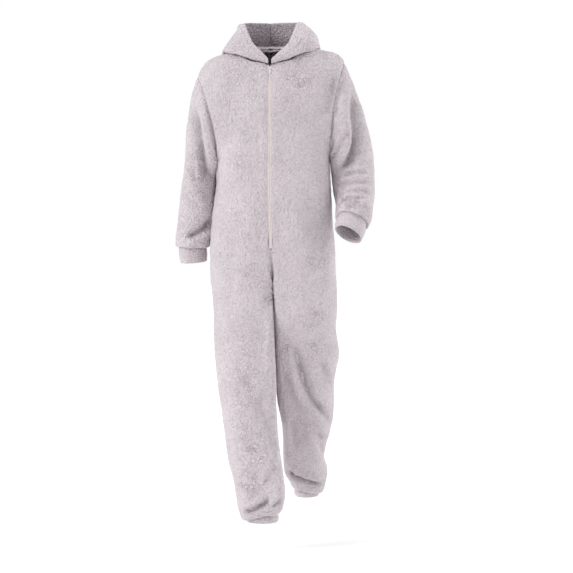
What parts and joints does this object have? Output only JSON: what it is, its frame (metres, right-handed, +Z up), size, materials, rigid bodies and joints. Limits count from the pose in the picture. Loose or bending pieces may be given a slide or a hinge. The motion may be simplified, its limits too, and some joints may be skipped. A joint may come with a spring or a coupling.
{
  "type": "hooded onesie pajama",
  "caption": "Plush fleece all-in-one pajama in its worn walking pose: hood lying back, long cuffed sleeves, a front zip from neck to hip, and wide legs gathered into ankle cuffs.",
  "frame": {"origin": "Level with the neck point of the shoulders, on the middle of the body's depth, where the wearer's shoulders hold the garment up.", "axes": "+Z is up, -Y is the front with the zip, and the wearer's right is -X. Metres."},
  "size_m": [0.6091, 0.4234, 1.5124],
  "materials": {
    "plush_fleece": "deep matte pile with a soft sheen",
    "cuff_fleece": "the same fleece with a shorter pile",
    "zip_tape": "flat woven tape",
    "zip_teeth": "satin",
    "zip_metal": "polished"
  },
  "bodies": {
    "garment": {"front_right": "plush_fleece", "front_left": "plush_fleece", "back_right": "plush_fleece", "back_left": "plush_fleece", "sleeve_right": "plush_fleece", "sleeve_left": "plush_fleece", "hood_right": "plush_fleece", "hood_left": "plush_fleece", "cuff_right": "cuff_fleece", "cuff_left": "cuff_fleece", "ankle_cuff_right": "cuff_fleece", "ankle_cuff_left": "cuff_fleece", "zip_tape_right": "zip_tape", "zip_tape_left": "zip_tape", "zip_chain": "zip_teeth", "zip_slider": "zip_metal"},
    "pull_tab": {"zip_pull": "zip_metal"}
  },
  "joints": [
    {"name": "pull_hinge", "type": "hinge", "parent": "garment", "child": "pull_tab", "pos_m": [-0.01012, -0.10597, -0.06123], "axis": [-1, 0, 0], "range_deg": [0, 150]}
  ]
}
